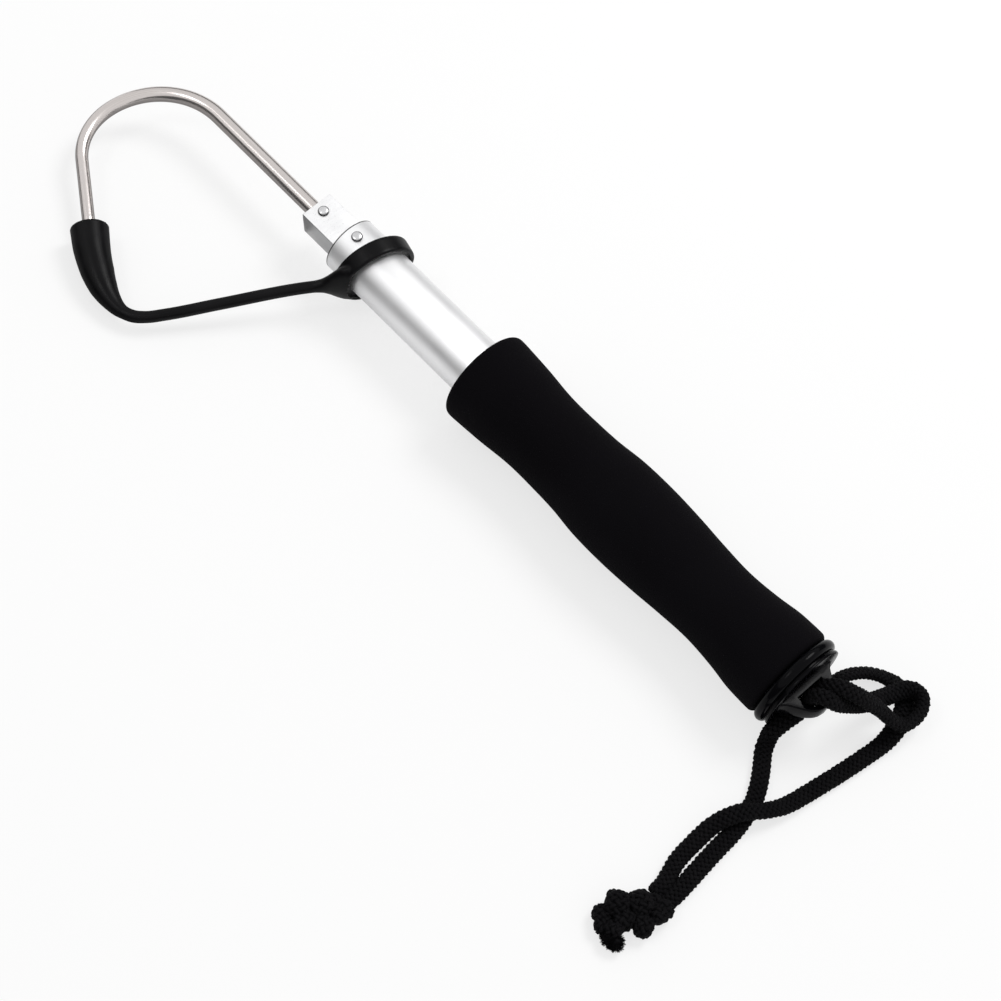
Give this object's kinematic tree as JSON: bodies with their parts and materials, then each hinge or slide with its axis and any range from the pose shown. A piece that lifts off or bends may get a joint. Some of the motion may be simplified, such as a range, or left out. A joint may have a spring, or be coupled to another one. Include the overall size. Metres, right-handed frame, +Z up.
{
  "type": "fishing gaff",
  "caption": "Telescoping fishing gaff: steel hook in an aluminium pole with twist locks, rubber point guard, foam grip, capped butt and braided wrist lanyard.",
  "frame": {"origin": "on the floor, under the middle of the closed gaff's box without its lanyard", "axes": "+X along the pole to the butt, +Y away from the hook's point, +Z up; the gaff lies on its side"},
  "size_m": [0.4147, 0.1649, 0.0412],
  "materials": {
    "hook_steel": "polished round bar with fine drawn lines",
    "block_aluminium": "fine milled",
    "rivet_aluminium": "smooth domed",
    "tube_aluminium": "satin anodised",
    "guard_rubber": "satin moulded",
    "grip_foam": "matte closed cell foam",
    "cap_plastic": "glossy moulded",
    "lock_plastic": "moulded",
    "lock_brass": "machined",
    "cord_braid": "flat hollow braid"
  },
  "bodies": {
    "handle": {"outer_tube": "tube_aluminium", "grip": "grip_foam", "end_cap": "cap_plastic", "lanyard_lead": "cord_braid", "lanyard_loop": "cord_braid", "lanyard_knot": "cord_braid"},
    "mid_collar": {"mid_lock_collar": "lock_plastic"},
    "mid_pole": {"mid_tube": "tube_aluminium", "mid_lock_plug": "lock_plastic", "mid_lock_stud": "lock_brass", "mid_lock_nut": "lock_brass"},
    "mid_cone": {"mid_lock_cone": "lock_brass"},
    "front_collar": {"front_lock_collar": "lock_plastic"},
    "front_pole": {"front_tube": "tube_aluminium", "front_lock_plug": "lock_plastic", "front_lock_stud": "lock_brass", "front_lock_nut": "lock_brass", "head_block": "block_aluminium", "hook": "hook_steel", "hook_rivet": "rivet_aluminium", "tube_rivet": "rivet_aluminium"},
    "front_cone": {"front_lock_cone": "lock_brass"},
    "guard": {"point_guard": "guard_rubber"}
  },
  "joints": [
    {"name": "mid_slide", "type": "slide", "parent": "handle", "child": "mid_collar", "axis": [-1, 0, 0], "range_m": [0, 0.117]},
    {"name": "mid_twist", "type": "hinge", "parent": "mid_collar", "child": "mid_pole", "pos_m": [0.15, 0.03541, 0.0206], "axis": [1, 0, 0], "range_deg": [0, 180]},
    {"name": "mid_cone_travel", "type": "slide", "parent": "mid_collar", "child": "mid_cone", "axis": [1, 0, 0], "range_m": [0, 0.001]},
    {"name": "front_slide", "type": "slide", "parent": "mid_pole", "child": "front_collar", "axis": [-1, 0, 0], "range_m": [0, 0.094]},
    {"name": "front_twist", "type": "hinge", "parent": "front_collar", "child": "front_pole", "pos_m": [0.13, 0.03541, 0.0206], "axis": [1, 0, 0], "range_deg": [0, 180]},
    {"name": "front_cone_travel", "type": "slide", "parent": "front_collar", "child": "front_cone", "axis": [1, 0, 0], "range_m": [0, 0.001]},
    {"name": "guard_tilt", "type": "hinge", "parent": "front_pole", "child": "guard", "pos_m": [-0.06007, 0.03593, 0.02005], "axis": [0, -0.1616, 0.9869], "range_deg": [0, 24]}
  ],
  "couplings": [
    {"joint": "mid_cone_travel", "follows": "mid_twist", "m_per_rad": 0.000318},
    {"joint": "front_cone_travel", "follows": "front_twist", "m_per_rad": 0.000318}
  ]
}
